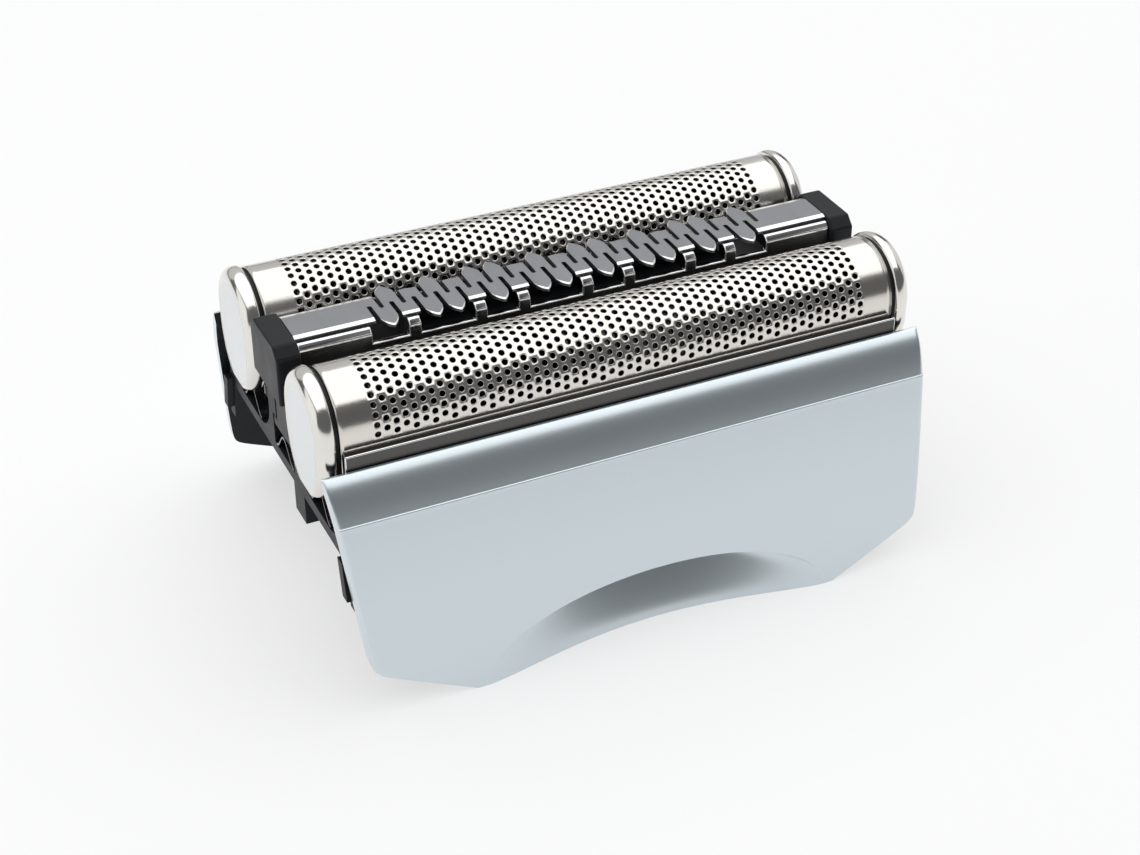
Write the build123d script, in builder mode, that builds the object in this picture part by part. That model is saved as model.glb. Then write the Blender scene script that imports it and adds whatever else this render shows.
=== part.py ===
"""Electric shaver foil head: two sprung foil cartridges and a sprung trimmer, in a frame between two skirts.

X runs along the foils, Y from front to rear and Z up. The head stands on the feet of its skirts, at Z = 0,
with the origin midway between them. A "drop" is measured down from the axis of the foils, a "rise" up from it.
The rear half is the front half turned about Z, so each rear piece is its front twin turned by half a turn.
"""

import os
from math import cos, hypot, radians, sin

from build123d import *

# Gaps and travels
seat_gap = 0.05          # between pieces that are fixed to each other
guide_gap = 0.15         # beside a piece that slides
shear_gap = 0.10         # between a cutter and what it runs against
foil_travel = 2.0        # how far a foil cartridge can be pressed down
trimmer_travel = 1.5     # how far the trimmer can be pressed down
cutter_stroke = 0.9      # how far a foil cutter runs to each side
trimmer_stroke = 0.8     # how far the trimmer blade runs to each side

# Foils
axis_height = 22.3       # axis of the foils above the feet
foil_spacing = 17.5      # between the two axes
foil_radius = 4.2
foil_wall = 0.15
foil_length = 50.0
foil_leg = 3.0           # straight sides below the axis
foil_strips = 16         # flat strips that would make a whole turn, one for each row of holes
hole_rows = 7
hole_pitch = 3.6
hole_margin = 2.5        # plain sheet at each end
hole_size = 0.9

# Foil carriers
rail_wall = 0.75
rail_drop = 0.8          # top of the rails
ledge_width = 0.9        # lip that reaches in under the foil's edge
ledge_height = 0.6
crossbar_width = 1.2
crossbar_height = 1.2
leg_width = 1.4
leg_offset = 3.1         # snap legs to each side of the axis
barb_height = 1.0
barb_reach = 0.9

# End caps of the cartridges
cap_length = 1.9
cap_rim = 0.25           # the cap stands this far proud of the foil
cap_bevel = 0.9
cap_shoulder_drop = 1.6  # where the sides begin to taper
cap_tip_drop = 6.5
cap_tip_width = 2.4
plug_length = 0.7

# Leaf springs, bent to a flat-topped bow
strip_thickness = 0.2
foil_spring_span = 4.4
trimmer_spring_span = 4.0
spring_top = 2.0

# Foil cutters
blade_count = 14
blade_thickness = 0.35
spine_drop = 0.3
spine_height = 0.6
spine_width = 5.2
flange_width = 7.5
flange_height = 0.6
keel_width = 4.8
keel_drop = 4.2
socket_length = 9.0
socket_drop = 6.8
socket_slot_length = 4.4
socket_slot_width = 2.4
socket_slot_depth = 3.4

# Trimmer comb
comb_rise = 3.45         # top of the comb
comb_width = 3.9
comb_thickness = 0.35
comb_inset = 0.3         # from the foil's end in to the comb's end
tooth_row = "LPLLPLPLLPLPLLPLPL"   # from left to right: L ends in a long point, P ends blunt above a post
tooth_pitch = 1.96
rows_middle = 0.6        # along X, where half a turn brings the front row of teeth to the rear row
tooth_reach = 1.3        # how far a long tooth stands out of the comb's edge
tooth_neck = 0.2         # straight start of a long tooth
tooth_shoulder = 1.3     # width of a long tooth halfway down its point
slit_width = 0.4
slit_past_middle = 0.35

# Trimmer channel under the comb
channel_width = 5.6
channel_wall = 0.5
channel_corner = 0.45
channel_bottom_drop = 1.8
mouth_width = 3.0        # between the posts of the two rows
window_height = 1.3
post_width = 1.1
lip_width = 0.55
lip_height = 0.4

# Trimmer blade and slider
trimmer_blade_width = 2.7
trimmer_blade_thickness = 0.4
trimmer_slit_width = 0.8
trimmer_slit_depth = 0.85
slider_inset = 2.75      # from the blade's end in to the slider's end
slider_rib_width = 1.2
slider_flange_height = 0.4
slider_keel_width = 2.6
slider_socket_length = 8.0
slider_socket_width = 4.4

# Trimmer end blocks
block_thickness = 2.1
block_width = 6.8
block_proud = 0.05       # above the comb
block_chamfer = 0.9
tongue_width = 3.0
head_width = 4.8         # T-shaped foot of the tongue, which holds the block down
head_height = 1.0
head_drop = 6.0

# Frame
end_wall = 1.6
end_wall_inset = 0.8     # from the foil's end in to the wall's inner face
end_bottom_drop = 10.1
notch_corner = 3.0
long_wall = 1.2
long_wall_top_drop = 7.0
long_wall_bottom_drop = 14.0
tab_width = 2.6
tab_offset = 5.4         # from the cartridge's axis towards the middle
tab_height = 2.8
ear_height = 3.4
ear_drop = 9.4
ear_reach = 0.6
ear_width = 1.0

# Skirts
skirt_past_cap = 0.2     # how far the top edge reaches past the caps
skirt_corner_inset = 1.55
skirt_corner_height = 3.7
skirt_foot_inset = 9.95
skirt_corner_round = 1.5
skirt_wall = 1.3
skirt_top_y = 14.2
skirt_top_drop = 2.1
shoulder_bulge = 0.28
crease_y = 16.25
crease_drop = 5.5
foot_y = 19.75
panel_hollow = 0.25      # how far the panel's section sinks below its chord
scoop_length = 30.0      # thumb scoop at the foot
scoop_height = 6.0
scoop_depth = 2.2

# Places worked out from the sizes
front_y = -foil_spacing / 2
foil_inner = foil_radius - foil_wall
foil_end = foil_length / 2
hole_columns = int((foil_length - 2 * hole_margin) / hole_pitch)
rail_inner = foil_radius + seat_gap
rail_outer = rail_inner + rail_wall
ledge_inner = foil_radius - ledge_width
ledge_drop = foil_leg + seat_gap
rail_bottom_drop = ledge_drop + ledge_height
cap_half = foil_radius + cap_rim
end_inner = foil_end - end_wall_inset
end_outer = end_inner + end_wall
notch_half = rail_outer + guide_gap
notch_drop = cap_tip_drop + foil_travel + 2 * strip_thickness + guide_gap
crossbar_x = end_inner - guide_gap - crossbar_width / 2
leg_bottom_drop = end_bottom_drop + seat_gap + barb_height
cutter_radius = foil_inner - shear_gap
cutter_end = crossbar_x - crossbar_width / 2 - guide_gap - cutter_stroke
spine_bottom_drop = spine_drop + spine_height
flange_bottom_drop = ledge_drop - shear_gap
comb_bottom = comb_rise - comb_thickness
comb_half = comb_width / 2
comb_end = foil_end - comb_inset
tooth_count = len(tooth_row)
tooth_width = tooth_pitch - slit_width
row_shift = tooth_pitch / 4
tooth_first = -row_shift - tooth_pitch * (tooth_count - 1) / 2
teeth_half = tooth_pitch * tooth_count / 2 + row_shift + slit_width / 2
channel_half = channel_width / 2
channel_inner = channel_half - channel_wall
window_bottom = comb_bottom - window_height
slider_flange_top = window_bottom - shear_gap
slider_flange_bottom = slider_flange_top - slider_flange_height
lip_top = slider_flange_bottom - shear_gap
trimmer_blade_top = comb_bottom - shear_gap
trimmer_blade_bottom = trimmer_blade_top - trimmer_blade_thickness
trimmer_blade_end = teeth_half - guide_gap - trimmer_stroke
slider_end = trimmer_blade_end - slider_inset
slider_socket_top = -channel_bottom_drop - shear_gap
post_drop = channel_bottom_drop + trimmer_travel + guide_gap
head_bottom_drop = head_drop + head_height
slot_bottom_drop = head_bottom_drop + trimmer_travel + 2 * strip_thickness + guide_gap
skirt_inner_y = -front_y + rail_outer + guide_gap
skirt_half = foil_end + cap_length + skirt_past_cap
skirt_top_z = axis_height - skirt_top_drop
crease_z = axis_height - crease_drop
panel_slope = (foot_y - crease_y) / crease_z
panel_stretch = hypot(1, panel_slope)
wall_depth = panel_hollow + skirt_wall + seat_gap

# Planes across the head: through the front foil's axis, and midway at the same height
foil_plane = Plane(origin=(0, front_y, axis_height), x_dir=(0, 1, 0), z_dir=(1, 0, 0))
middle_plane = Plane(origin=(0, 0, axis_height), x_dir=(0, 1, 0), z_dir=(1, 0, 0))
foil_upright = Axis((0, front_y, 0), (0, 0, 1))


def level(rise):
    """Horizontal plane at a rise above the foils' axis."""
    return Plane.XY.offset(axis_height + rise)


def band(half_width, top, bottom, mode=Mode.ADD):
    """Rectangle about the sketch's vertical axis, from one height down to another."""
    with Locations((0, (top + bottom) / 2)):
        Rectangle(2 * half_width, top - bottom, mode=mode)


def strip_arch(radius, bottom, mode=Mode.ADD):
    """Arch of flat strips that touch the radius, with straight legs down to the bottom."""
    half_strip = 180 / foil_strips
    reach = radius / cos(radians(half_strip))
    steps = range(1 - foil_strips // 2, foil_strips // 2, 2)
    corners = [(reach * sin(radians(step * half_strip)), reach * cos(radians(step * half_strip))) for step in steps]
    Polygon((-radius, bottom), *corners, (radius, bottom), align=None, mode=mode)


def spring_bow(span, bottom, top):
    """Underside of a bent leaf spring, from its left foot over its flat top to its right foot."""
    under = top - strip_thickness
    Polyline((-span / 2, bottom), (-spring_top / 2, under), (spring_top / 2, under), (span / 2, bottom))


def tooth_places(kind, across):
    """Places of the teeth of one kind, at a distance from the middle, in the front row and the rear row."""
    along = [tooth_first + index * tooth_pitch for index in range(tooth_count) if tooth_row[index] == kind]
    front = [Location((rows_middle + x, -across, 0)) for x in along]
    rear = [Location((rows_middle - x, across, 0), (0, 0, 180)) for x in along]
    return front + rear


def behind_panel(drop, depth):
    """Point of the cross section at a drop, a depth in from the chord of the rear skirt's panel."""
    return crease_y + (drop - crease_drop) * panel_slope - depth * panel_stretch, axis_height - drop


def save(part, name):
    """Label a finished piece and write it as the node of that name."""
    part.label = name
    export_step(part, f"parts/{name}.step")


os.makedirs("parts", exist_ok=True)

# Foil: a thin arch with a row of holes in each of its upper strips
with BuildPart() as foil:
    with BuildSketch(foil_plane):
        strip_arch(foil_radius, -foil_leg)
        strip_arch(foil_inner, -foil_leg, Mode.SUBTRACT)
    extrude(amount=foil_end, both=True)
    for row in range(hole_rows):
        turn = (row - (hole_rows - 1) / 2) * 360 / foil_strips
        upright = Plane(origin=foil_plane.origin, x_dir=(1, 0, 0), z_dir=(0, 0, 1))
        with BuildSketch(upright.rotated((turn, 0, 0))):
            with GridLocations(hole_pitch, hole_pitch, hole_columns + row % 2, 1):
                Rectangle(hole_size, hole_size, rotation=45)
        extrude(amount=2 * foil_radius, mode=Mode.SUBTRACT)

# Foil carrier: two rails under the foil's edges, joined by crossbars with snap legs
with BuildPart() as carrier:
    with BuildSketch(foil_plane):
        with BuildLine():
            Polyline(
                (rail_outer, -rail_drop),
                (rail_outer, -rail_bottom_drop),
                (ledge_inner, -rail_bottom_drop),
                (ledge_inner, -ledge_drop),
                (rail_inner, -ledge_drop),
                (rail_inner, -rail_drop),
                close=True,
            )
        make_face()
        mirror(about=Plane.YZ)
    extrude(amount=foil_end, both=True)
    with BuildSketch(level(-rail_bottom_drop)):
        with Locations((-crossbar_x, front_y), (crossbar_x, front_y)):
            Rectangle(crossbar_width, 2 * (foil_inner - seat_gap))
    extrude(amount=crossbar_height)
    with BuildSketch(level(-rail_bottom_drop)):
        with Locations((0, front_y)):
            with GridLocations(2 * crossbar_x, 2 * leg_offset, 2, 2):
                Rectangle(crossbar_width, leg_width)
    extrude(amount=rail_bottom_drop - leg_bottom_drop)
    with BuildSketch(level(-leg_bottom_drop)):
        with Locations((0, front_y)):
            with GridLocations(2 * crossbar_x + crossbar_width + barb_reach, 2 * leg_offset, 2, 2):
                Rectangle(barb_reach, leg_width)
    extrude(amount=barb_height)

# End cap: a bevelled shield, with a plug that fills the foil's end
cap_plane = foil_plane.offset(foil_end)
with BuildPart() as cap:
    with BuildSketch(cap_plane):
        with BuildLine():
            ThreePointArc((-cap_half, 0), (0, cap_half), (cap_half, 0))
            right_side = Line((cap_half, 0), (cap_half, -cap_shoulder_drop))
            left_side = Line((-cap_half, 0), (-cap_half, -cap_shoulder_drop))
            tip = Line((cap_tip_width / 2, -cap_tip_drop), (-cap_tip_width / 2, -cap_tip_drop))
            TangentArc(right_side @ 1, tip @ 0, tangent=(0, -1))
            TangentArc(left_side @ 1, tip @ 1, tangent=(0, -1))
        make_face()
    extrude(amount=cap_length)
    chamfer(cap.faces().sort_by(Axis.X)[-1].edges(), length=cap_bevel)
    with BuildSketch(cap_plane):
        strip_arch(foil_inner - seat_gap, -foil_leg)
    extrude(amount=-plug_length)

# Leaf spring under the cap's tip, standing in the frame's notch
with BuildPart() as foil_spring:
    with BuildSketch(cap_plane.offset(seat_gap)):
        with BuildLine():
            spring_bow(foil_spring_span, -notch_drop, -cap_tip_drop - seat_gap)
            offset(amount=strip_thickness, kind=Kind.INTERSECTION, side=Side.LEFT)
        make_face()
    extrude(amount=end_outer - foil_end - 2 * seat_gap)

# Foil cutter: arched blades on a spine
blade_step = (2 * cutter_end - blade_thickness) / (blade_count - 1)
blade_places = [(index - (blade_count - 1) / 2) * blade_step for index in range(blade_count)]
with BuildPart() as cutter_blades:
    with BuildSketch(*[foil_plane.offset(place) for place in blade_places]):
        strip_arch(cutter_radius, -spine_drop)
    extrude(amount=blade_thickness / 2, both=True)
    with BuildSketch(foil_plane):
        band(spine_width / 2, -spine_drop, -spine_bottom_drop)
    extrude(amount=cutter_end, both=True)

# Carrier of the foil cutter: a flanged bar with a drive socket underneath
with BuildPart() as cutter_carrier:
    with BuildSketch(foil_plane):
        band(keel_width / 2, -spine_bottom_drop, -keel_drop)
        band(flange_width / 2, flange_height - flange_bottom_drop, -flange_bottom_drop)
    extrude(amount=cutter_end, both=True)
    with BuildSketch(level(-keel_drop)):
        with Locations((0, front_y)):
            Rectangle(socket_length, keel_width)
    extrude(amount=keel_drop - socket_drop)
    with BuildSketch(level(-socket_drop)):
        with Locations((0, front_y)):
            Rectangle(socket_slot_length, socket_slot_width)
    extrude(amount=socket_slot_depth, mode=Mode.SUBTRACT)

# Trimmer comb: slits from both edges, past each other, between long and blunt teeth
with BuildSketch() as long_tooth:
    with BuildLine():
        Polyline(
            (0, 0),
            (tooth_width / 2, 0),
            (tooth_width / 2, -tooth_neck),
            (tooth_shoulder / 2, -(tooth_neck + tooth_reach) / 2),
            (0, -tooth_reach),
            close=True,
        )
    make_face()
    mirror(about=Plane.YZ)

slit_length = comb_half + slit_past_middle
slit_along = [tooth_first + (index - 0.5) * tooth_pitch for index in range(tooth_count + 1)]
slit_across = comb_half - slit_length / 2
with BuildPart() as trimmer_comb:
    with BuildSketch(level(comb_bottom)):
        Rectangle(2 * comb_end, comb_width)
        with Locations(*tooth_places("L", comb_half)):
            add(long_tooth.sketch)
        with Locations((rows_middle, 0)):
            with Locations(*[(x, -slit_across) for x in slit_along], *[(-x, slit_across) for x in slit_along]):
                Rectangle(slit_width, slit_length, mode=Mode.SUBTRACT)
    extrude(amount=comb_thickness)

# Trimmer channel: carries the comb on its ends and on a post under each blunt tooth
post_depth = channel_half - mouth_width / 2
with BuildPart() as trimmer_channel:
    with BuildSketch(middle_plane) as channel_section:
        band(channel_half, comb_bottom, -channel_bottom_drop)
        chamfer(channel_section.vertices().group_by(Axis.Y)[-1], length=channel_corner)
        band(channel_inner, window_bottom, -channel_bottom_drop, Mode.SUBTRACT)
        with Locations((0, lip_top - lip_height / 2)):
            with GridLocations(2 * channel_inner - lip_width, lip_height, 2, 1):
                Rectangle(lip_width, lip_height)
    extrude(amount=comb_end, both=True)
    with BuildSketch(level(comb_bottom)):
        Rectangle(2 * teeth_half, channel_width)
        with Locations(*tooth_places("P", channel_half - post_depth / 2)):
            Rectangle(post_width, post_depth, mode=Mode.SUBTRACT)
    extrude(amount=-window_height, mode=Mode.SUBTRACT)

# Trimmer blade: a toothed strip that runs under the comb
with BuildPart() as trimmer_blade:
    with BuildSketch(level(trimmer_blade_bottom)):
        Rectangle(2 * trimmer_blade_end, trimmer_blade_width)
        with Locations((rows_middle, 0)):
            with GridLocations(tooth_pitch, trimmer_blade_width - trimmer_slit_depth, tooth_count - 1, 2):
                Rectangle(trimmer_slit_width, trimmer_slit_depth, mode=Mode.SUBTRACT)
    extrude(amount=trimmer_blade_thickness)

# Trimmer slider: carries the blade, hooks over the channel's lips and ends in a drive socket
with BuildPart() as trimmer_slider:
    with BuildSketch(middle_plane):
        band(slider_rib_width / 2, trimmer_blade_bottom, slider_flange_top)
        band(channel_inner - guide_gap, slider_flange_top, slider_flange_bottom)
        band(slider_keel_width / 2, slider_flange_bottom, slider_socket_top)
    extrude(amount=slider_end, both=True)
    with BuildSketch(level(slider_socket_top)):
        Rectangle(slider_socket_length, slider_socket_width)
    extrude(amount=-slider_socket_top - socket_drop)
    with BuildSketch(level(-socket_drop)):
        Rectangle(socket_slot_length, socket_slot_width)
    extrude(amount=socket_slot_depth, mode=Mode.SUBTRACT)

# Trimmer end block: closes the channel, with a T-shaped foot that slides in the frame
with BuildPart() as trimmer_block:
    with BuildSketch(middle_plane.offset(comb_end)) as block_section:
        band(block_width / 2, comb_rise + block_proud, -channel_bottom_drop)
        chamfer(block_section.vertices().group_by(Axis.Y)[-1], length=block_chamfer)
    extrude(amount=block_thickness)
    with BuildSketch(middle_plane.offset(comb_end)):
        band(tongue_width / 2, -channel_bottom_drop, -head_drop)
        band(head_width / 2, -head_drop, -head_bottom_drop)
    extrude(amount=end_outer - comb_end)

# Leaf spring under the block's foot
with BuildPart() as trimmer_spring:
    with BuildSketch(middle_plane.offset(comb_end)):
        with BuildLine():
            spring_bow(trimmer_spring_span, -slot_bottom_drop, -head_bottom_drop - seat_gap)
            offset(amount=strip_thickness, kind=Kind.INTERSECTION, side=Side.LEFT)
        make_face()
    extrude(amount=end_outer - comb_end)

# Frame: end walls with a notch for each cartridge and a slot for the trimmer, joined by two long walls
with BuildPart() as frame:
    with BuildSketch(middle_plane.offset(end_inner)):
        band(foil_spacing / 2, -post_drop, -end_bottom_drop)
    extrude(amount=end_wall)
    with BuildSketch(Plane.YZ.offset(end_inner)):
        with BuildLine():
            upper_y, upper_z = behind_panel(long_wall_top_drop, wall_depth)
            lower_y, lower_z = behind_panel(end_bottom_drop, wall_depth)
            Polyline((-upper_y, upper_z), (-lower_y, lower_z), (lower_y, lower_z), (upper_y, upper_z), close=True)
        make_face()
    extrude(amount=end_wall)
    with BuildSketch(middle_plane.offset(end_inner)):
        with Locations((front_y, (notch_corner - notch_drop) / 2), (-front_y, (notch_corner - notch_drop) / 2)):
            RectangleRounded(2 * notch_half, notch_drop + notch_corner, notch_corner)
        band(tongue_width / 2 + guide_gap, 0, -slot_bottom_drop)
        band(head_width / 2 + guide_gap, seat_gap - head_drop, -slot_bottom_drop)
    extrude(amount=end_wall, mode=Mode.SUBTRACT)
    with BuildSketch(Plane.YZ.offset(end_outer)):
        with BuildLine():
            Polyline(
                behind_panel(ear_drop, wall_depth),
                behind_panel(ear_drop + ear_height, wall_depth),
                behind_panel(ear_drop + ear_height, wall_depth + ear_width),
                behind_panel(ear_drop, wall_depth + ear_width),
                close=True,
            )
        make_face()
        mirror(about=Plane.YZ)
    extrude(amount=ear_reach)
    mirror(about=Plane.YZ)
    with BuildSketch(Plane.YZ):
        with BuildLine():
            Polyline(
                behind_panel(long_wall_top_drop, wall_depth),
                behind_panel(long_wall_bottom_drop, wall_depth),
                behind_panel(long_wall_bottom_drop, wall_depth + long_wall),
                behind_panel(long_wall_top_drop, wall_depth + long_wall),
                close=True,
            )
        make_face()
        mirror(about=Plane.YZ)
    extrude(amount=end_outer, both=True)
    with BuildSketch(level(-end_bottom_drop)):
        tab_x = end_outer - end_wall / 2
        tab_y = front_y + tab_offset
        with Locations((-tab_x, tab_y), (tab_x, -tab_y)):
            Rectangle(end_wall, tab_width)
    extrude(amount=-tab_height)

# Skirt: a convex shoulder and a hollow panel, cut to a keystone outline, with a thumb scoop at the foot
scoop_along = scoop_length**2 / (8 * scoop_depth)
scoop_up = scoop_height**2 / (2 * scoop_depth)
scoop_y = -foot_y + scoop_depth + panel_slope**2 * scoop_up / 2 - scoop_along
scoop_place = (0, scoop_y, panel_slope * scoop_up)
scoop_ring = scoop_along - scoop_up
panel_middle = (-(crease_y + foot_y) / 2 + panel_hollow, crease_z / 2)
with BuildPart() as scoop_back:
    with BuildSketch(Plane.YZ):
        with BuildLine():
            ThreePointArc((-crease_y, crease_z), panel_middle, (-foot_y, 0))
            offset(amount=skirt_wall + scoop_depth, side=Side.LEFT)
        make_face()
    extrude(amount=skirt_half, both=True)
    with Locations(scoop_place):
        Torus(scoop_ring, scoop_up + skirt_wall, mode=Mode.INTERSECT)

with BuildPart() as skirt:
    with BuildSketch(Plane.YZ) as skirt_section:
        with BuildLine():
            ThreePointArc(
                (-skirt_top_y, skirt_top_z),
                (-(skirt_top_y + crease_y) / 2 - shoulder_bulge, (skirt_top_z + crease_z) / 2),
                (-crease_y, crease_z),
            )
            ThreePointArc((-crease_y, crease_z), panel_middle, (-foot_y, 0))
            offset(amount=skirt_wall, side=Side.LEFT)
        make_face()
        with Locations((0, axis_height / 2)):
            Rectangle(2 * skirt_inner_y, 2 * axis_height, mode=Mode.SUBTRACT)
    extrude(amount=skirt_half, both=True)
    add(scoop_back.part)
    with BuildSketch(Plane.XZ) as skirt_outline:
        with BuildLine():
            Polyline(
                (0, 0),
                (skirt_half - skirt_foot_inset, 0),
                (skirt_half - skirt_corner_inset, skirt_corner_height),
                (skirt_half, skirt_top_z),
                (0, skirt_top_z),
                close=True,
            )
        make_face()
        mirror(about=Plane.YZ)
        fillet(skirt_outline.vertices().group_by(Axis.Y)[1], radius=skirt_corner_round)
    extrude(amount=2 * foot_y, both=True, mode=Mode.INTERSECT)
    with Locations(scoop_place):
        Torus(scoop_ring, scoop_up, mode=Mode.SUBTRACT)

# The front pieces, and their rear twins after half a turn
cartridge = {
    "foil": foil.part,
    "carrier": carrier.part,
    "right_cap": cap.part,
    "left_cap": cap.part.rotate(foil_upright, 180),
    "right_spring": foil_spring.part,
    "left_spring": foil_spring.part.rotate(foil_upright, 180),
    "cutter_blades": cutter_blades.part,
    "cutter_carrier": cutter_carrier.part,
    "skirt": skirt.part,
}
mirrored_sides = {"right_cap": "left_cap", "left_cap": "right_cap"}
mirrored_sides |= {"right_spring": "left_spring", "left_spring": "right_spring"}
for name, part in cartridge.items():
    save(part, f"front_{name}")
    save(part.rotate(Axis.Z, 180), f"rear_{mirrored_sides.get(name, name)}")

save(frame.part, "frame")
save(trimmer_comb.part, "trimmer_comb")
save(trimmer_channel.part, "trimmer_channel")
save(trimmer_blade.part, "trimmer_blade")
save(trimmer_slider.part, "trimmer_slider")
save(trimmer_block.part, "trimmer_right_block")
save(trimmer_block.part.rotate(Axis.Z, 180), "trimmer_left_block")
save(trimmer_spring.part, "trimmer_right_spring")
save(trimmer_spring.part.rotate(Axis.Z, 180), "trimmer_left_spring")
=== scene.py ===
"""Looks of a shaver foil head: perforated foils, polished caps, a ground trimmer comb and lacquered skirts.

Lengths are in millimetres until a mesh is made. X runs along the foils, Y from front to rear and Z up.
Each piece takes its place from the box of the solid that it stands for.
"""

import math

import bmesh
import bpy
import numpy as np
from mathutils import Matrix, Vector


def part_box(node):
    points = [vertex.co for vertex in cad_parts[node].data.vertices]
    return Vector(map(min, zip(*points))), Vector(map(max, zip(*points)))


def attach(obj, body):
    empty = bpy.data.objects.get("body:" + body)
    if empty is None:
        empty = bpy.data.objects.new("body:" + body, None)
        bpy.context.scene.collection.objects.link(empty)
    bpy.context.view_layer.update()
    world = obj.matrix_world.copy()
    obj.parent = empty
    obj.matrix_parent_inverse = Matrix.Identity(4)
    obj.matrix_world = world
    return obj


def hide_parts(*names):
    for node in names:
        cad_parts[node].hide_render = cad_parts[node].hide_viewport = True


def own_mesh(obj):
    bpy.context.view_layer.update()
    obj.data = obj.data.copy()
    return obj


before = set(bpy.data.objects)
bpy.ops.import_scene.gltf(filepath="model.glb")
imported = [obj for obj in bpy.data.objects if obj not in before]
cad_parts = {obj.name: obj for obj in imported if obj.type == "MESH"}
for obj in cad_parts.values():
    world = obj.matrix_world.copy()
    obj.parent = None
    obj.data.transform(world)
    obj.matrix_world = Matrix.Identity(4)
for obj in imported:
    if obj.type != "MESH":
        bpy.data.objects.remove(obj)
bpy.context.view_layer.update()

MM = 0.001
FRONT, REAR = -1, 1
LEFT, RIGHT = -1, 1
SIDE_NAMES = {FRONT: "front", REAR: "rear"}
END_NAMES = {LEFT: "left", RIGHT: "right"}

# Foil sheet
hole_step = 0.81         # between columns of holes, along X
hole_pitch = 0.82        # between the holes of a column, round the arch
hole_radius = 0.255
hole_rim = 0.04          # width of the drawn edge round each hole
hole_dip = 0.022         # how far that edge is drawn in
holes_round = 17         # holes in a column
foil_margin = 2.6        # plain sheet at each end
foil_wall = 0.15

# Cap: a broad round rim about a satin face
cap_shoulder = 1.6       # straight side below the foil's axis
cap_tip_half = 1.2
cap_taper = 1.6          # power of the curve from the shoulder to the tip
cap_tip_thin = 0.5       # share of the profile's inset that goes at the tip
cap_tip_fade = 4.0       # length over which it goes
plug_depth = 0.6
plug_step = 0.2          # from the groove's floor in to the plug
groove_width = 0.36
groove_inset = 0.45
groove_wall = 0.06       # length over which the groove's outer wall rises
lip_inset = 0.14         # at the top of that wall
neck_inset = 0.03        # half way from the groove to the rim
rim_start = 0.75         # widest place of the rim, from the foil's end
rim_width = 1.05
rim_sweep = 84           # degrees of the rim's quarter of an ellipse
face_step = 0.12         # from the rim's crest in to the face's edge
face_dish = 0.10         # how far the face's edge lies behind the rim's crest
face_centre = -1.0       # below the foil's axis

# Skirt
skirt_top_y = 14.2
skirt_top_round = 0.33
skirt_inner_y = 13.85    # the inner wall stays clear of the rail
crease_y = 16.25
crease_z = 16.8
crease_bead = 0.13       # round upper edge of the panel
shoulder_lean = (0.62, 0.16, 0.22)   # shares of the shoulder's inward run that grow with t, t^2 and t^5
shoulder_top_tilt = 51   # degrees by which the shoulder faces up where its top edge turns over
panel_bulge = 0.18
skirt_wall = 1.3
skirt_edge_round = 0.4   # at the skirt's ends
skirt_edge_share = 0.7   # most of the wall that this round takes up
skirt_corner_half = 25.55
skirt_corner_z = 3.7
skirt_foot_half = 17.15
skirt_corner_soft = 0.45
scoop_half = 15.8
scoop_height = 6.2
scoop_end_z = 0.03       # height of the scoop's edge at its ends
scoop_depth = 2.2        # at the foot
scoop_slope = 0.32       # how fast the scoop deepens from its foot towards its upper edge
scoop_foot_round = 0.6   # height over which the foot bends into that slope
scoop_lip = (5, 19)      # power of the round lip under the upper edge: at the ends, and more in the middle
scoop_fade = 1.4         # power by which the scoop's foot runs out to its ends
scoop_slope_fade = 0.8   # power by which its slope does
rows_below = 2.2         # power by which rows crowd towards the scoop's edge, below it
rows_above = 1.25        # and above it

# Cutter lamellae
blade_count = 14         # carrying blades of a cutter
blade_thickness = 0.35
lamella_share = 4        # lamellae and gaps from one carrying blade to the next
lamella_thickness = 0.2
lamella_clearance = 0.05

# Trimmer comb
tooth_row = "LPLLPLPLLPLPLLPLPL"   # from left to right: L ends in a long point, P ends blunt above a post
tooth_pitch = 1.96
rows_middle = 0.6        # along X, where half a turn brings the front row of teeth to the rear row
tooth_reach = 1.3
tooth_point = 1.3        # power of the point: 1 is a straight-sided point, 2 a round end
tooth_flank = 0.7        # power that draws the point's flanks out
slit_width = 0.4
slit_past_middle = 0.35
slit_edge = 0.03         # edge of the slits
slit_lean = 0.01         # the slits' walls lean by this much, so that each place along X has one depth
comb_half = 1.95
plate_edge = 0.45        # ground edge of the plain ends
plate_slope = 0.25       # its drop for its width
ground_edge = 0.25       # ground edge of the blunt teeth
point_edge = 0.18        # ground edge at the tips of the long teeth
ground_slope = 0.6       # drop of the teeth's ground edge for its width

# Round edges, found where the solids' faces meet at more than the angle in degrees
edge_angle = 30
flat_angle = 0.5         # faces that meet at less are one face
channel_edge = 0.13
block_edge = 0.2
rail_edge = 0.12

# Leaf springs
spring_leaf = 0.2        # thickness
foil_travel = 2.0        # how far a cartridge is pressed down
trimmer_travel = 1.5

# Finish
relief_height = 0.05     # of the grain, before its strength
noise_range = (0.25, 0.75)   # where most of the noise lies
least_roughness = 0.02

# Meshes
weld_steps = 1e4         # steps to the millimetre that count as one place in a flat pattern
merge_reach = 1e-6       # metres within which points of a finished mesh merge

# Floor and light
floor_rings = (0.0, 0.1, 0.3, 1.0, 4.0)   # radii in metres
floor_white = 0.6        # share of plain white in what the camera sees of the floor
light_aim = (0.0, 0.0, 0.015)   # where the lamps point, in metres
room_light = 0.09        # light from all round
room_mirrored = 0.04     # share of the white background that shows in the metal

# Camera: viewing angle, lens and place, fitted to the photograph
view_azimuth = -25.112
view_elevation = 33.736
view_target = (0.535, -0.264, 8.983)
view_distance = 187.997
view_lens = 66.26
view_sensor = 36.0


def box(node):
    """Lowest and highest corner of a solid, in millimetres."""
    low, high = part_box(node)
    return np.array(low) / MM, np.array(high) / MM


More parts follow.
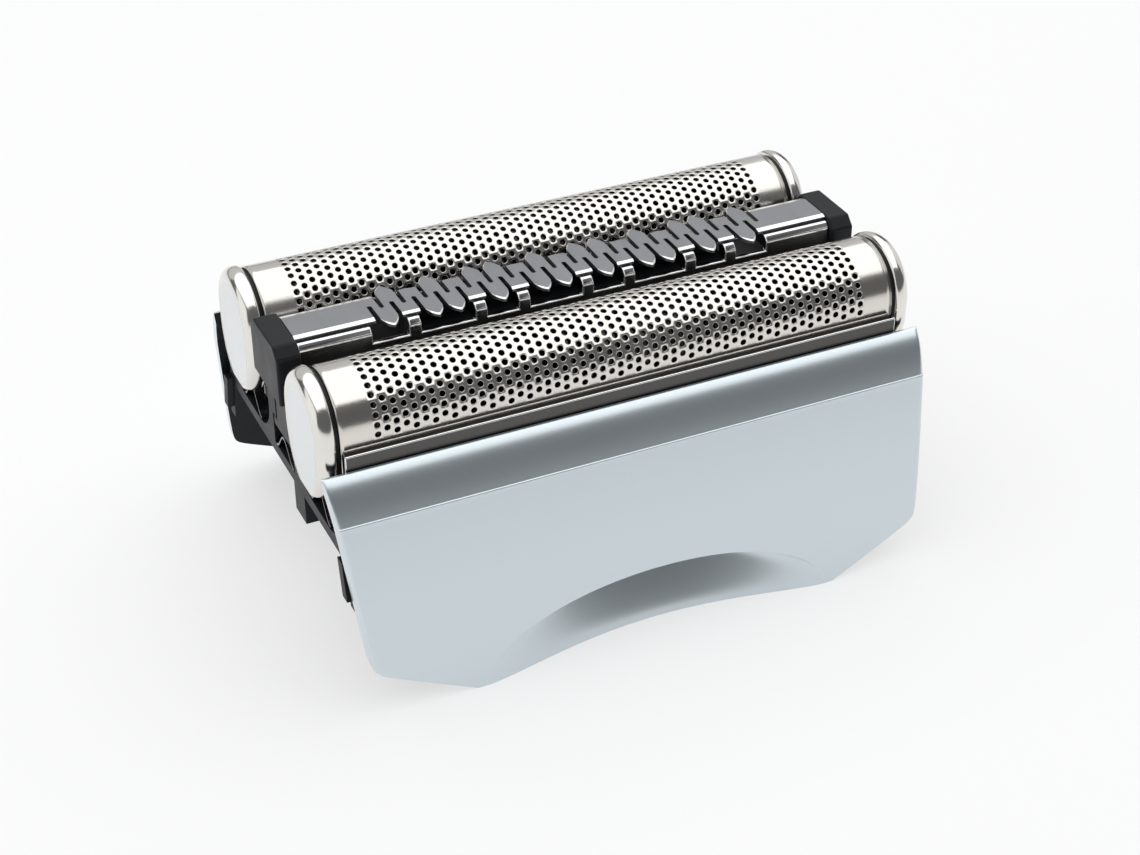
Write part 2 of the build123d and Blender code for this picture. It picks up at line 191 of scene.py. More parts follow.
def smooth_step(value):
    """0 below 0, 1 above 1 and a smooth rise between."""
    value = np.clip(value, 0, 1)
    return value * value * (3 - 2 * value)


def grid_quads(rows, columns, closed=False):
    """Quads between neighbours of a grid stored row by row; closed joins the last column to the first."""
    row, column = np.meshgrid(np.arange(rows - 1), np.arange(columns - (not closed)), indexing="ij")
    after = (column + 1) % columns
    corners = [row * columns + column, row * columns + after]
    corners += [(row + 1) * columns + after, (row + 1) * columns + column]
    return np.stack(corners, -1).reshape(-1, 4)


def weld(points, faces):
    """Points at the same place become one point."""
    keys = np.round(points * weld_steps).astype(np.int64)
    _, first, place = np.unique(keys, axis=0, return_index=True, return_inverse=True)
    return points[first], place.reshape(-1)[faces]


def add_piece(name, points, blocks, materials, body, nodes, sharp=40, turn_out=True):
    """Object from points in millimetres and blocks of faces, on its body and in place of the nodes."""
    mesh = bpy.data.meshes.new(name)
    mesh.from_pydata((points * MM).tolist(), [], [face for block in blocks for face in block.tolist()])
    if turn_out:
        work = bmesh.new()
        work.from_mesh(mesh)
        bmesh.ops.recalc_face_normals(work, faces=work.faces)
        work.to_mesh(mesh)
        work.free()
    return dress(name, mesh, materials, body, nodes, sharp)


def dress(name, mesh, materials, body, nodes, sharp=40):
    """Object for a finished mesh, with its materials, body and the nodes that it stands for."""
    mesh.materials.clear()
    for material in materials:
        mesh.materials.append(material)
    mesh.shade_smooth()
    mesh.set_sharp_from_angle(angle=math.radians(sharp))
    piece = bpy.data.objects.new(name, mesh)
    bpy.context.scene.collection.objects.link(piece)
    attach(piece, body)
    if nodes:
        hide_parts(*nodes)
    return piece


def set_finish(piece, finish):
    """Gives each face the material that its number names; faces past the list take the first material."""
    numbers = np.zeros(len(piece.data.polygons), np.int32)
    numbers[:len(finish)] = finish
    piece.data.polygons.foreach_set("material_index", numbers)


def merge_close(piece):
    """Closes poles, whose ring of points shares one place."""
    work = bmesh.new()
    work.from_mesh(piece.data)
    bmesh.ops.remove_doubles(work, verts=work.verts, dist=merge_reach)
    bmesh.ops.recalc_face_normals(work, faces=work.faces)
    work.to_mesh(piece.data)
    work.free()


def softened(node, name, material, body, width, segments=2, edge_highlight_material=None):
    """Merged copy of a solid whose sharp edges are rounded, as moulded or ground edges are."""
    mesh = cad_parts[node].data.copy()
    mesh.name = name
    work = bmesh.new()
    work.from_mesh(mesh)
    bmesh.ops.remove_doubles(work, verts=work.verts, dist=merge_reach)
    bmesh.ops.dissolve_limit(work, angle_limit=math.radians(flat_angle), verts=work.verts, edges=work.edges)
    work.to_mesh(mesh)
    work.free()
    # A second material paints the rounded edges lighter than the body: a painted highlight along them.
    materials = [material, edge_highlight_material] if edge_highlight_material else [material]
    piece = dress(name, mesh, materials, body, [node], sharp=edge_angle)
    edge = piece.modifiers.new("edges", "BEVEL")
    edge.width = width * MM
    edge.segments = segments
    edge.limit_method = "ANGLE"
    edge.angle_limit = math.radians(edge_angle)
    edge.material = len(materials) - 1
    edge.harden_normals = True
    return piece


# Materials
def surface(name, colour, metallic, roughness, shade=0.06, spread=0.05, patch=400, grain=6000, bump=0.05,
            stretch=(1, 1, 1), **sockets):
    """Principled surface: noise in patches varies its colour and roughness, and fine grain gives it relief.

    patch and grain count features to the metre, and stretch draws them out along an axis."""
    material = bpy.data.materials.new(name)
    material.use_nodes = True
    nodes = material.node_tree.nodes
    link = material.node_tree.links.new
    shader = nodes["Principled BSDF"]
    shader.inputs["Metallic"].default_value = metallic
    for socket, value in sockets.items():
        shader.inputs[socket.replace("_", " ")].default_value = value

    coordinates = nodes.new("ShaderNodeTexCoord")
    mapping = nodes.new("ShaderNodeMapping")
    mapping.inputs["Scale"].default_value = stretch
    link(coordinates.outputs["Object"], mapping.inputs["Vector"])

    patches = nodes.new("ShaderNodeTexNoise")
    patches.inputs["Scale"].default_value = patch
    patches.inputs["Detail"].default_value = 4
    link(mapping.outputs["Vector"], patches.inputs["Vector"])

    tint = nodes.new("ShaderNodeMix")
    tint.data_type = "RGBA"
    tint.inputs["A"].default_value = tuple(min(1, c * (1 - shade)) for c in colour) + (1,)
    tint.inputs["B"].default_value = tuple(min(1, c * (1 + shade)) for c in colour) + (1,)
    link(patches.outputs["Fac"], tint.inputs["Factor"])
    link(tint.outputs["Result"], shader.inputs["Base Color"])

    polish = nodes.new("ShaderNodeMapRange")
    polish.inputs["From Min"].default_value = noise_range[0]
    polish.inputs["From Max"].default_value = noise_range[1]
    polish.inputs["To Min"].default_value = max(least_roughness, roughness - spread)
    polish.inputs["To Max"].default_value = roughness + spread
    link(patches.outputs["Fac"], polish.inputs["Value"])
    link(polish.outputs["Result"], shader.inputs["Roughness"])

    grains = nodes.new("ShaderNodeTexNoise")
    grains.inputs["Scale"].default_value = grain
    grains.inputs["Detail"].default_value = 3
    link(mapping.outputs["Vector"], grains.inputs["Vector"])
    relief = nodes.new("ShaderNodeBump")
    relief.inputs["Strength"].default_value = bump
    relief.inputs["Distance"].default_value = relief_height * MM
    link(grains.outputs["Fac"], relief.inputs["Height"])
    link(relief.outputs["Normal"], shader.inputs["Normal"])
    return material


nickel_sheet = surface("nickel_sheet", (0.72, 0.695, 0.65), 1.0, 0.20, patch=250, stretch=(0.3, 1, 1))
polished_cap = surface("polished_cap", (0.78, 0.76, 0.715), 1.0, 0.16, patch=300)
satin_face = surface("satin_face", (0.80, 0.82, 0.83), 0.9, 0.42, shade=0.02, patch=300)
rail_metal = surface("rail_metal", (0.10, 0.098, 0.095), 1.0, 0.30, patch=500, stretch=(0.2, 1, 1))
silver_lacquer = surface("silver_lacquer", (0.665, 0.735, 0.77), 0.85, 0.28, shade=0.004, spread=0.006,
                         patch=150, grain=14000, bump=0.015, Coat_Weight=0.3, Coat_Roughness=0.12)
black_moulding = surface("black_moulding", (0.010, 0.012, 0.015), 0.0, 0.48, shade=0.2, patch=500, bump=0.2,
                         Specular_IOR_Level=0.25)
slate_moulding = surface("slate_moulding", (0.011, 0.012, 0.015), 0.0, 0.42, shade=0.2, patch=500,
                         bump=0.15, Specular_IOR_Level=0.2)
comb_steel = surface("comb_steel", (0.29, 0.295, 0.31), 1.0, 0.32, patch=700, bump=0.1,
                     stretch=(1, 0.15, 1))
# Light steel for ground and rounded edges: bare ground steel on the comb's edges, with a painted highlight
# there and along the rounded edges of the channel and rails.
ground_steel_and_edge_highlight = surface("ground_steel_and_edge_highlight", (0.80, 0.80, 0.80), 1.0, 0.22, shade=0.04, patch=900)
channel_metal = surface("channel_metal", (0.13, 0.13, 0.135), 1.0, 0.30, patch=600, stretch=(0.2, 1, 1))
# Cutter steel far darker than real steel: painted shade, so that the cutters seen through the foil's holes
# look dark.
cutter_steel = surface("cutter_steel", (0.06, 0.06, 0.062), 1.0, 0.45, patch=600)
spring_steel = surface("spring_steel", (0.20, 0.20, 0.21), 1.0, 0.25, patch=600)


# Foils
def foil_flat(length, radius, leg):
    """Flat pattern of a foil: columns of cells with a hole in each, every other column half a pitch on.

    A cell has twelve points on its edge, every quarter pitch up its sides, so that neighbours share them.
    Three rings lead in to the hole: the cell's edge, the start of the drawn rim and the hole's own edge.
    Plain bands close the columns' ends, the margins and the legs.
    Returns points (x, arc length, depth) and quads."""
    columns = int((length - 2 * foil_margin) / hole_step)
    zone_x = columns * hole_step / 2
    zone_arc = holes_round * hole_pitch / 2

    angle = np.arange(12) * math.pi / 6
    across = np.array([0, 1, 1, 1, 1, 1, 0, -1, -1, -1, -1, -1]) * hole_step / 2
    around = np.array([2, 2, 1, 0, -1, -2, -2, -2, -1, 0, 1, 2]) * hole_pitch / 4
    rings = [np.stack([across, around, 0 * angle], -1)]
    for reach, depth in ((hole_radius + hole_rim, 0.0), (hole_radius, hole_dip)):
        rings.append(np.stack([reach * np.sin(angle), reach * np.cos(angle), np.full(12, depth)], -1))
    cell = np.concatenate(rings)
    cell_quads = grid_quads(3, 12, closed=True)[:, ::-1]

    column, hole = np.meshgrid(np.arange(columns), np.arange(holes_round), indexing="ij")
    middle_x = (column + 0.5) * hole_step - zone_x
    middle_arc = (hole + 0.5 + 0.5 * (column % 2)) * hole_pitch - zone_arc
    kept = middle_arc < zone_arc - hole_pitch / 4
    middles = np.stack([middle_x[kept], middle_arc[kept], 0 * middle_x[kept]], -1)
    points = [(middles[:, None] + cell[None]).reshape(-1, 3)]
    faces = [(np.arange(len(middles))[:, None, None] * len(cell) + cell_quads[None]).reshape(-1, 4)]

    def band(x, arc):
        """Plain sheet on a grid of x and arc length."""
        grid = np.stack([*np.meshgrid(x, arc), np.zeros((len(arc), len(x)))], -1).reshape(-1, 3)
        faces.append(grid_quads(len(arc), len(x)) + sum(len(block) for block in points))
        points.append(grid)

    half_steps = np.arange(2 * columns + 1) * hole_step / 2 - zone_x
    quarters = np.arange(4 * holes_round + 1) * hole_pitch / 4 - zone_arc
    for offset_column in range(1, columns, 2):
        three = half_steps[2 * offset_column:2 * offset_column + 3]
        band(three, quarters[:3])
        band(three, quarters[-3:])
    margin = np.linspace(zone_x, length / 2, 6)
    band(-margin[::-1], quarters)
    band(margin, quarters)
    skirt_arc = np.linspace(zone_arc, math.pi * radius / 2 + leg, 6)
    all_x = np.concatenate([-margin[:0:-1], half_steps, margin[1:]])
    band(all_x, skirt_arc)
    band(all_x, -skirt_arc[::-1])
    return weld(np.concatenate(points), np.concatenate(faces))


def bend_over(points, axis_y, axis_z, radius):
    """Bends a flat pattern over the arch: arc length runs round the half circle, then down the legs."""
    x, arc, depth = points.T
    quarter = math.pi * radius / 2
    turn = np.clip(arc, -quarter, quarter) / radius
    drop = np.abs(arc) - np.abs(np.clip(arc, -quarter, quarter))
    reach = radius - depth
    return np.stack([x, axis_y + reach * np.sin(turn), axis_z + reach * np.cos(turn) - drop], -1)


foil_low, foil_high = box("front_foil")
foil_radius = (foil_high[1] - foil_low[1]) / 2
foil_end = foil_high[0]
axis_z = foil_high[2] - foil_radius
foil_points, foil_quads = foil_flat(foil_high[0] - foil_low[0], foil_radius, axis_z - foil_low[2])
for side in (FRONT, REAR):
    name = SIDE_NAMES[side]
    low, high = box(name + "_foil")
    arch = bend_over(foil_points, (low[1] + high[1]) / 2, axis_z, foil_radius)
    sheet = add_piece(name + "_foil_sheet", arch, [foil_quads], [nickel_sheet], name + "_cartridge",
                      [name + "_foil"], sharp=50, turn_out=False)
    wall = sheet.modifiers.new("wall", "SOLIDIFY")
    wall.thickness = foil_wall * MM
    wall.offset = -1


# Caps
def cap_outline(half, top, tip):
    """Closed outline of a cap round the foil's axis: half circle, straight sides, curves to a blunt tip.

    Each lower curve is a quarter of a superellipse. Points (y, z) lie evenly and normals point outwards."""
    over = np.linspace(-math.pi / 2, math.pi / 2, 97)
    arch = np.stack([half * np.sin(over), top - half + half * np.cos(over)], -1)
    down = np.linspace(0, math.pi / 2, 49)
    power = 2 / cap_taper
    side_y = cap_tip_half + (half - cap_tip_half) * np.cos(down) ** power
    side_z = -cap_shoulder + (tip + cap_shoulder) * np.sin(down) ** power
    right = np.stack([side_y, side_z], -1)
    path = np.concatenate([arch, right, right[::-1] * (-1, 1), arch[:1]])
    steps = np.concatenate([[0], np.cumsum(np.linalg.norm(np.diff(path, axis=0), axis=1))])
    even = np.linspace(0, steps[-1], 145)[:-1]
    outline = np.stack([np.interp(even, steps, path[:, 0]), np.interp(even, steps, path[:, 1])], -1)
    along = np.roll(outline, -1, axis=0) - np.roll(outline, 1, axis=0)
    normal = np.stack([-along[:, 1], along[:, 0]], -1)
    return outline, normal / np.linalg.norm(normal, axis=1, keepdims=True)


def cap(side, end):
    """End cap: rings of its outline, set in by a profile that runs along X over plug, groove and round rim.

    The rim is a quarter of an ellipse. Inside it the rings shrink to a point over a shallow dome.
    Towards the cap's narrow tip the profile is set in less."""
    node = f"{SIDE_NAMES[side]}_{END_NAMES[end]}_cap"
    low, high = box(node)
    axis_y = (low[1] + high[1]) / 2
    half = (high[1] - low[1]) / 2
    length = max(-low[0], high[0]) - foil_end
    outline, normal = cap_outline(half, high[2] - axis_z, low[2] - axis_z)

    turn = np.radians(np.linspace(0, rim_sweep, 13))
    rim_reach = rim_start + (length - rim_start) * np.sin(turn)
    rim_inset = rim_width * (1 - np.cos(turn))
    neck = (groove_width + rim_start) / 2
    plug_reach = [-plug_depth, 0.0, groove_width, groove_width + groove_wall, neck]
    plug_inset = [groove_inset + plug_step, groove_inset, groove_inset, lip_inset, neck_inset]
    reach = np.concatenate([plug_reach, rim_reach, [length - face_dish]])
    inset = np.concatenate([plug_inset, rim_inset, [rim_width + face_step]])
    narrow = 1 - cap_tip_thin * smooth_step((-outline[:, 1] - cap_shoulder) / cap_tip_fade)
    rings = outline[None] - normal[None] * (inset[:, None] * narrow[None])[..., None]
    ring_x = np.repeat(reach[:, None], len(outline), axis=1)

    centre = np.array([0.0, face_centre])
    shrink = np.linspace(1, 0, 12)[1:, None, None]
    face = centre + (rings[-1] - centre) * shrink
    face_x = length - face_dish * shrink[..., 0] ** 2 + 0 * face[..., 0]

    flat = np.concatenate([rings, face])
    x = np.concatenate([ring_x, face_x])
    points = np.stack([end * (foil_end + x), axis_y + flat[..., 0], axis_z + flat[..., 1]], -1)
    points = points.reshape(-1, 3)
    start = np.array([[end * (foil_end - plug_depth), axis_y, axis_z + face_centre]])
    count = len(outline)
    quads = grid_quads(len(flat), count, closed=True)
    around = np.arange(count)
    plug = np.stack([np.full(count, len(points)), (around + 1) % count, around], -1)
    piece = add_piece(node + "_shell", np.concatenate([points, start]), [quads, plug],
                      [polished_cap, satin_face, black_moulding], SIDE_NAMES[side] + "_cartridge",
                      [node], sharp=60)
    finish = np.zeros(len(quads), np.int32)
    # The plug and the groove's floor take the black moulding: painted shade for the groove's dark line.
    finish[:2 * count] = 2
    finish[(len(rings) - 1) * count:] = 1
    set_finish(piece, finish)
    merge_close(piece)
    return piece


for side in (FRONT, REAR):
    for end in (LEFT, RIGHT):
        cap(side, end)


# Skirts
def skirt_section(top_z):
    """Section above the panel, as depth, height and inner depth: round bead, shoulder, round top edge.

    At a share t of its height the shoulder has run in by a t + b t^2 + c t^5 of its whole way."""
    turn = np.radians(np.linspace(15, 90, 6))
    bead_y = crease_y + crease_bead * np.cos(turn)
    bead_z = crease_z - crease_bead + crease_bead * np.sin(turn)
    turn = np.radians(np.linspace(shoulder_top_tilt, 90, 7))
    round_y = skirt_top_y - skirt_top_round * (np.cos(turn[0]) - np.cos(turn))
    round_z = top_z - skirt_top_round * (1 - np.sin(turn))
    share = np.linspace(0.01, 1, 25)[:-1]
    lean = shoulder_lean[0] * share + shoulder_lean[1] * share**2 + shoulder_lean[2] * share**5
    shoulder_y = crease_y - (crease_y - skirt_top_y) * lean
    shoulder_z = crease_z + (round_z[0] - crease_z) * share
    depth = np.concatenate([bead_y, shoulder_y, round_y])
    height = np.concatenate([bead_z, shoulder_z, round_z])
    return depth, height, np.maximum(np.minimum(depth, crease_y) - skirt_wall, skirt_inner_y)


def skirt(side):
    """Skirt: a grid of columns along X and rows up its section, with a black inner wall behind it.

    The panel's lower rows follow the scoop's edge, which is half an ellipse, so that this edge stays crisp.
    Below it the panel sinks by a depth that grows with height, along an exponential that ends in a straight
    slope. The lip turns out by (1 - t^n)^0.5, where t runs from the foot to the edge and n falls towards the
    scoop's ends. The end columns reach out to the keystone outline, and the last turn a quarter circle."""
    node = SIDE_NAMES[side] + "_skirt"
    low, high = box(node)
    foot_y = max(abs(low[1]), abs(high[1]))
    top_half, top_z = high[0], high[2]

    def outline_half(z):
        """Half width of the keystone at a height: two straight edges with a hyperbola at their corner."""
        rise = (z - skirt_corner_z) / (top_z - skirt_corner_z)
        upper = skirt_corner_half + (top_half - skirt_corner_half) * rise
        lower = skirt_foot_half + (skirt_corner_half - skirt_foot_half) * z / skirt_corner_z
        return (lower + upper) / 2 - np.sqrt((lower - upper) ** 2 / 4 + skirt_corner_soft**2)

    swing = np.radians(np.linspace(-90, 90, 101))
    share = np.concatenate([np.linspace(0, 1, 25)[1:], np.ones(6)])
    roll = np.concatenate([np.zeros(24), np.radians(np.linspace(15, 90, 6))])
    column_x = np.concatenate([0 * share - scoop_half, scoop_half * np.sin(swing), 0 * share + scoop_half])
    column_out = np.concatenate([-share[::-1], 0 * swing, share])
    column_roll = np.concatenate([-roll[::-1], 0 * swing, roll])
    arch = np.clip(1 - (column_x / scoop_half) ** 2, 0, 1)
    edge_z = np.maximum(scoop_height * np.sqrt(arch), scoop_end_z)

    inside = 1 - (1 - np.linspace(0, 1, 41)[:, None]) ** rows_below
    above = np.linspace(0, 1, 49)[1:, None] ** rows_above
    bead_bottom = crease_z - crease_bead
    panel_z = np.concatenate([edge_z * inside, edge_z + (bead_bottom - edge_z) * above])
    up = edge_z * inside
    slope_run = up - scoop_foot_round * (1 - np.exp(-up / scoop_foot_round))
    deep = scoop_depth * arch**scoop_fade + scoop_slope * slope_run * arch**scoop_slope_fade
    lip = scoop_lip[0] + scoop_lip[1] * arch**2
    sink = np.concatenate([deep * np.sqrt(1 - inside**lip), 0 * arch * above])
    part = panel_z / bead_bottom
    chord = foot_y + (crease_y + crease_bead - foot_y) * part
    panel_y = chord + panel_bulge * 4 * part * (1 - part) - sink
    depth, height, inner = skirt_section(top_z)
    width = np.ones(len(column_x))
    z = np.concatenate([panel_z, height[:, None] * width])
    y = np.concatenate([panel_y, depth[:, None] * width])
    y_inner = np.concatenate([panel_y - skirt_wall, inner[:, None] * width])
    x = column_x + column_out * (outline_half(z) - skirt_edge_round - scoop_half)
    x = x + skirt_edge_round * np.sin(column_roll)
    y = y - np.minimum(skirt_edge_round, skirt_edge_share * (y - y_inner)) * (1 - np.cos(column_roll))

    outside = np.stack([x, side * y, z], -1)
    behind = np.stack([x, side * y_inner, z], -1)[:, ::-1]
    loop = np.concatenate([outside, behind], axis=1)
    rows, columns = loop.shape[:2]
    walls = grid_quads(rows, columns, closed=True)
    one = np.arange(len(column_x) - 1)
    lid = np.stack([one, one + 1, columns - 2 - one, columns - 1 - one], -1)
    piece = add_piece(node + "_shell", loop.reshape(-1, 3), [walls, lid, lid + (rows - 1) * columns],
                      [silver_lacquer, black_moulding], "base", [node], sharp=35)
    column = np.arange(len(walls)) % columns
    set_finish(piece, (column >= len(column_x)) & (column < columns - 1))
    return piece


for side in (FRONT, REAR):
    skirt(side)


# Trimmer comb
def tooth_edge():
    """Edge of a row of teeth about the rows' middle, from left to right, at stations along X.

    Slits run in past the middle and end round. At a share u of its half width a long tooth reaches out by
    (1 - |u|^p)^q of its length. The row lies a quarter pitch aside, so half a turn sets it half a pitch on.
    Returns x, depth in from the plate's edge, width and drop of the ground edge and a mark that is 1 where
    the edge is ground and painted lighter: partly bare ground steel, partly a painted highlight."""
    slit_half = slit_width / 2
    tooth_half = tooth_pitch / 2 - slit_half - slit_lean
    turn = np.linspace(math.pi, 0, 13)
    slit_depth = comb_half + slit_past_middle - slit_half * (1 - np.sin(turn))
    slit = np.stack([slit_half * np.cos(turn), slit_depth, 0 * turn + slit_edge,
                     0 * turn + ground_slope * slit_edge, 0 * turn])
    share = np.sin(np.linspace(-math.pi / 2, math.pi / 2, 25))
    reach = tooth_reach * (1 - np.abs(share) ** tooth_point) ** tooth_flank
    edge = slit_edge + (point_edge - slit_edge) * (1 - share**4)
    long_tooth = np.stack([tooth_half * share, -reach, edge, ground_slope * edge, 0 * share + 1])
    blunt_tooth = np.array([[-tooth_half, tooth_half], [0, 0], [ground_edge] * 2,
                            [ground_slope * ground_edge] * 2, [1, 1]])
    first = -tooth_pitch * (len(tooth_row) / 2 - 1 / 4)
    plate = [[0], [plate_edge], [plate_slope * plate_edge], [1]]
    along = np.array([[1], [0], [0], [0], [0]])
    line = [np.array([[first - tooth_pitch / 2 - slit_half - slit_lean]] + plate)]
    for index, tooth in enumerate(tooth_row):
        middle = first + index * tooth_pitch
        line.append(slit + (middle - tooth_pitch / 2) * along)
        line.append((long_tooth if tooth == "L" else blunt_tooth) + middle * along)
    line.append(slit + (middle + tooth_pitch / 2) * along)
    line.append(np.array([[middle + tooth_pitch / 2 + slit_half + slit_lean]] + plate))
    return np.concatenate(line, axis=1)


def comb():
    """Comb plate: at each station along X it runs from the front row's edge to the rear's, half a turn on.

    The section there has six corners: wall, ground edge and flat top. The ground edge takes a lighter steel,
    partly bare ground steel and partly a painted highlight, between two stations that are both ground."""
    low, high = box("trimmer_comb")
    x, inset, width, drop, ground = tooth_edge()
    front_x, rear_x = rows_middle + x, (rows_middle - x)[::-1]
    stations = np.unique(np.concatenate([[low[0]], front_x, rear_x, [high[0]]]))
    front_y = np.interp(stations, front_x, inset - comb_half)
    rear_y = np.interp(stations, rear_x, (comb_half - inset)[::-1])
    front_edge = np.interp(stations, front_x, width)
    rear_edge = np.interp(stations, rear_x, width[::-1])
    front_drop = np.interp(stations, front_x, drop)
    rear_drop = np.interp(stations, rear_x, drop[::-1])
    top = high[2]
    corners = [(front_y, low[2]), (front_y, top - front_drop), (front_y + front_edge, top),
               (rear_y - rear_edge, top), (rear_y, top - rear_drop), (rear_y, low[2])]
    loop = np.stack([np.stack([stations, y, 0 * stations + z], -1) for y, z in corners], 1)
    walls = grid_quads(len(stations), len(corners), closed=True)
    ends = np.array([[5, 4, 1, 0], [4, 3, 2, 1], [0, 1, 4, 5], [1, 2, 3, 4]])
    ends += np.array([[0], [0], [1], [1]]) * len(corners) * (len(stations) - 1)
    piece = add_piece("trimmer_comb_plate", loop.reshape(-1, 3), [walls, ends], [comb_steel, ground_steel_and_edge_highlight],
                      "trimmer", ["trimmer_comb"], sharp=12)
    middles = (stations[1:] + stations[:-1]) / 2
    # Faces of the ground edge get the lighter steel: partly bare ground steel, partly a painted highlight.
    ground_and_highlight = np.zeros((len(middles), len(corners)), np.int32)
    ground_and_highlight[:, 1] = np.interp(middles, front_x, ground) > 0.99
    ground_and_highlight[:, 3] = np.interp(middles, rear_x, ground[::-1]) > 0.99
    set_finish(piece, ground_and_highlight.reshape(-1))
    return piece


comb()
softened("trimmer_channel", "trimmer_channel_profile", channel_metal, "trimmer",
         channel_edge, segments=3, edge_highlight_material=ground_steel_and_edge_highlight)
for end in (LEFT, RIGHT):
    block = f"trimmer_{END_NAMES[end]}_block"
    softened(block, block + "_moulding", slate_moulding, "trimmer", block_edge, segments=3)


# Springs
def leaf_spring(node):
    """Leaf spring: a strip whose height follows a cosine wave, from two ends on the frame up to its top."""
    low, high = box(node)
    share = np.linspace(-1, 1, 41)
    y = (low[1] + high[1]) / 2 + share * (high[1] - low[1]) / 2
    z = low[2] + (high[2] - low[2] - spring_leaf) * (0.5 + 0.5 * np.cos(math.pi * share))
    corners = [(low[0], 0.0), (high[0], 0.0), (high[0], spring_leaf), (low[0], spring_leaf)]
    loop = np.stack([np.stack([np.full_like(y, x), y, z + up], -1) for x, up in corners], 1)
    quads = grid_quads(len(share), 4, closed=True)
    ends = np.array([[3, 2, 1, 0], [0, 1, 2, 3]]) + np.array([[0], [4 * (len(share) - 1)]])
    piece = add_piece(node + "_leaf", loop.reshape(-1, 3), [quads, ends], [spring_steel], "base",
                      [node])
    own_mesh(piece)
    return piece


for holder, joint, travel in (("front", "front_foil_float", foil_travel),
                              ("rear", "rear_foil_float", foil_travel),
                              ("trimmer", "trimmer_float", trimmer_travel)):
    for end in (LEFT, RIGHT):
        spring = f"{holder}_{END_NAMES[end]}_spring"
        low, high = box(spring)
        leaf_spring(spring)


# Cutters
def fine_lamellae(side):
    """Thin half discs under a foil, evenly spaced between the cutter's carrying blades.

    Round a disc's edge y goes with the sine and z with the cosine of the turn."""
    node = SIDE_NAMES[side] + "_cutter_blades"
    low, high = box(node)
    radius = high[2] - axis_z - lamella_clearance
    end = high[0] - blade_thickness / 2
    places = np.linspace(-end, end, (blade_count - 1) * lamella_share + 1)
    places = places[np.arange(len(places)) % lamella_share > 0]
    turn = np.linspace(-math.pi / 2, math.pi / 2, 33)
    y = (low[1] + high[1]) / 2 + radius * np.sin(turn)
    z = axis_z + radius * np.cos(turn)
    faces_x = places[:, None] + lamella_thickness / 2 * np.array([-1, 1])
    points = np.stack(np.broadcast_arrays(faces_x[..., None], y, z), -1)
    count = len(turn)
    start = 2 * count * np.arange(len(places))[:, None, None]
    rims = (start + grid_quads(2, count, closed=True)[None]).reshape(-1, 4)
    sides = np.stack([np.arange(count)[::-1], count + np.arange(count)])
    return add_piece(SIDE_NAMES[side] + "_cutter_lamellae", points.reshape(-1, 3),
                     [rims, (start + sides[None]).reshape(-1, count)], [cutter_steel],
                     SIDE_NAMES[side] + "_cutter", [])


for side in (FRONT, REAR):
    fine_lamellae(side)

# Moulded and stamped pieces that keep the solids' shape
for side in (FRONT, REAR):
    name = SIDE_NAMES[side]
    softened(name + "_carrier", name + "_carrier_rails", rail_metal, name + "_cartridge",
             rail_edge, edge_highlight_material=ground_steel_and_edge_highlight)
for node, material in (("frame", black_moulding), ("front_cutter_carrier", black_moulding),
                       ("rear_cutter_carrier", black_moulding), ("front_cutter_blades", cutter_steel),
                       ("rear_cutter_blades", cutter_steel), ("trimmer_blade", cutter_steel),
                       ("trimmer_slider", black_moulding)):
    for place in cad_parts[node].material_slots:
        place.material = material


# Floor, light and camera
def clear_rays(tree, mirrored):
    """1 for rays from the camera or through glass, and the given share for rays off metal."""
    path = tree.nodes.new("ShaderNodeLightPath")
    glossy = tree.nodes.new("ShaderNodeMath")
    glossy.operation = "MULTIPLY"
    glossy.inputs[1].default_value = mirrored
    tree.links.new(path.outputs["Is Glossy Ray"], glossy.inputs[0])
    seen = path.outputs["Is Camera Ray"]
    for other in (path.outputs["Is Transmission Ray"], glossy.outputs["Value"]):
        either = tree.nodes.new("ShaderNodeMath")
        either.operation = "MAXIMUM"
        tree.links.new(seen, either.inputs[0])
        tree.links.new(other, either.inputs[1])
        seen = either.outputs["Value"]
    return seen


def pale_paper():
    """White paper that shows a share of plain white to the camera and in metal, so its shadow is light."""
    paper = surface("pale_floor", (0.90, 0.905, 0.91), 0.0, 0.6, shade=0.005, patch=20, bump=0.02)
    nodes = paper.node_tree.nodes
    link = paper.node_tree.links.new
    share = nodes.new("ShaderNodeMath")
    share.operation = "MULTIPLY"
    share.inputs[1].default_value = floor_white
    link(clear_rays(paper.node_tree, 1.0), share.inputs[0])
    white = nodes.new("ShaderNodeEmission")
    blend = nodes.new("ShaderNodeMixShader")
    link(share.outputs["Value"], blend.inputs["Fac"])
    link(nodes["Principled BSDF"].outputs["BSDF"], blend.inputs[1])
    link(white.outputs["Emission"], blend.inputs[2])
    link(blend.outputs["Shader"], nodes["Material Output"].inputs["Surface"])
    return paper


def floor():
    """Wide pale disc under the head."""
    turn = np.linspace(0, 2 * math.pi, 97)[:-1]
    reach = np.array(floor_rings)[:, None]
    points = np.stack([reach * np.cos(turn), reach * np.sin(turn), 0 * reach * turn], -1)
    quads = grid_quads(len(reach), len(turn), closed=True)
    mesh = bpy.data.meshes.new("floor")
    mesh.from_pydata(points.reshape(-1, 3).tolist(), [], quads.tolist())
    mesh.materials.append(pale_paper())
    disc = bpy.data.objects.new("floor", mesh)
    bpy.context.scene.collection.objects.link(disc)


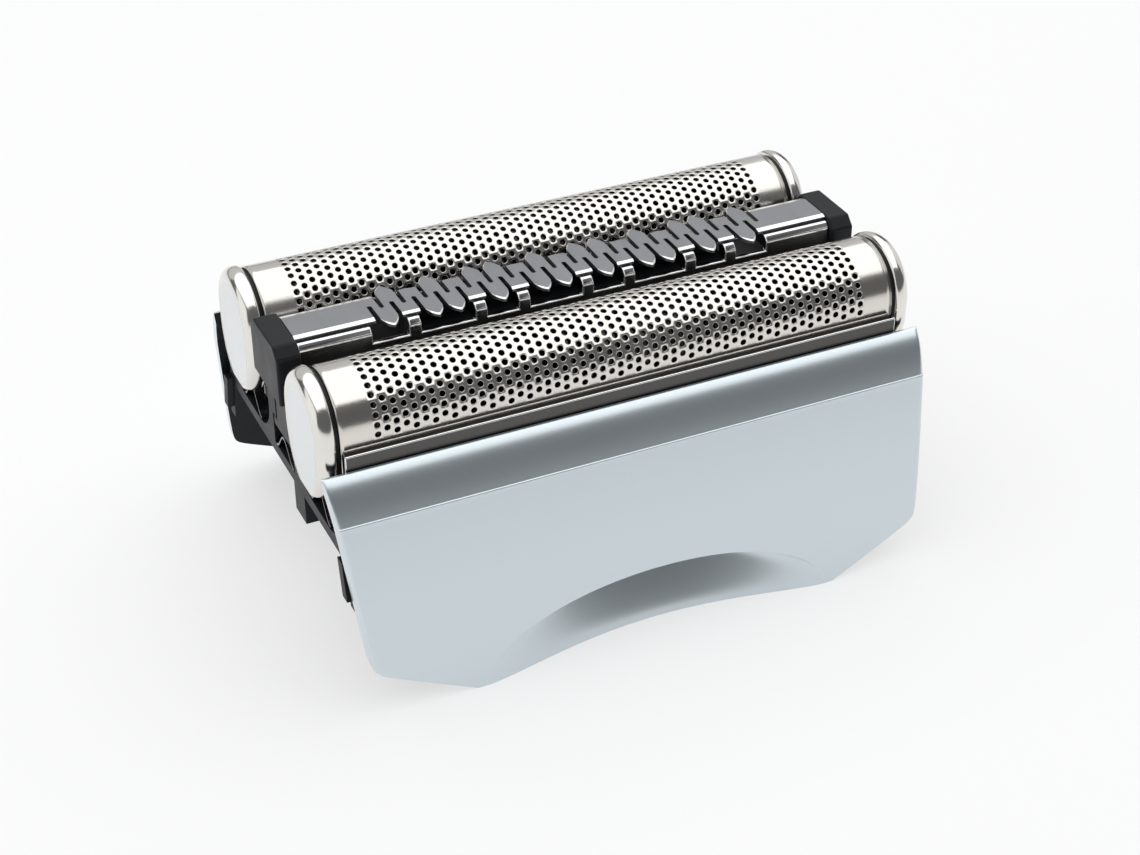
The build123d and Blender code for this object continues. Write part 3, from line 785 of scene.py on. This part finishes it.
def studio():
    """Faint even light from all round, behind a white background."""
    world = bpy.data.worlds.new("studio")
    world.use_nodes = True
    nodes = world.node_tree.nodes
    link = world.node_tree.links.new
    nodes["Background"].inputs["Color"].default_value = (0.95, 0.97, 1.0, 1)
    nodes["Background"].inputs["Strength"].default_value = room_light
    white = nodes.new("ShaderNodeBackground")
    white.inputs["Color"].default_value = (1, 1, 1, 1)
    blend = nodes.new("ShaderNodeMixShader")
    link(clear_rays(world.node_tree, room_mirrored), blend.inputs["Fac"])
    link(nodes["Background"].outputs["Background"], blend.inputs[1])
    link(white.outputs["Background"], blend.inputs[2])
    link(blend.outputs["Shader"], nodes["World Output"].inputs["Surface"])
    return world


def softbox(name, place, size, radiance):
    """Area lamp that faces the head and is as bright as a white card of that radiance."""
    lamp = bpy.data.lights.new(name, "AREA")
    lamp.shape = "RECTANGLE"
    lamp.size, lamp.size_y = size
    lamp.energy = radiance * math.pi * size[0] * size[1]
    holder = bpy.data.objects.new(name, lamp)
    holder.location = place
    aim = np.array(light_aim) - np.array(place)
    yaw = math.atan2(aim[0], -aim[1])
    pitch = math.atan2(math.hypot(aim[0], aim[1]), -aim[2])
    holder.rotation_euler = (pitch, 0.0, yaw + math.pi)
    holder.visible_camera = False
    bpy.context.scene.collection.objects.link(holder)


def camera():
    """Camera at the photograph's viewing angle."""
    turn, tilt = math.radians(view_azimuth), math.radians(view_elevation)
    back = np.array([math.sin(turn) * math.cos(tilt), -math.cos(turn) * math.cos(tilt), math.sin(tilt)])
    lens = bpy.data.cameras.new("camera")
    lens.lens = view_lens
    lens.sensor_width = view_sensor
    lens.clip_start = 0.005
    eye = bpy.data.objects.new("camera", lens)
    eye.location = (np.array(view_target) + back * view_distance) * MM
    eye.rotation_euler = (math.pi / 2 - tilt, 0, turn)
    bpy.context.scene.collection.objects.link(eye)
    bpy.context.scene.camera = eye


floor()
softbox("top_light", (0.0, 0.05, 0.52), (1.3, 1.0), 1.4)
softbox("back_light", (0.0, 0.85, 0.42), (1.4, 0.7), 0.5)
softbox("left_light", (-0.8, 0.05, 0.25), (0.8, 0.5), 0.9)
softbox("right_light", (0.8, 0.15, 0.30), (0.7, 0.5), 0.7)
camera()
scene = bpy.context.scene
scene.world = studio()
scene.view_settings.view_transform = "Standard"
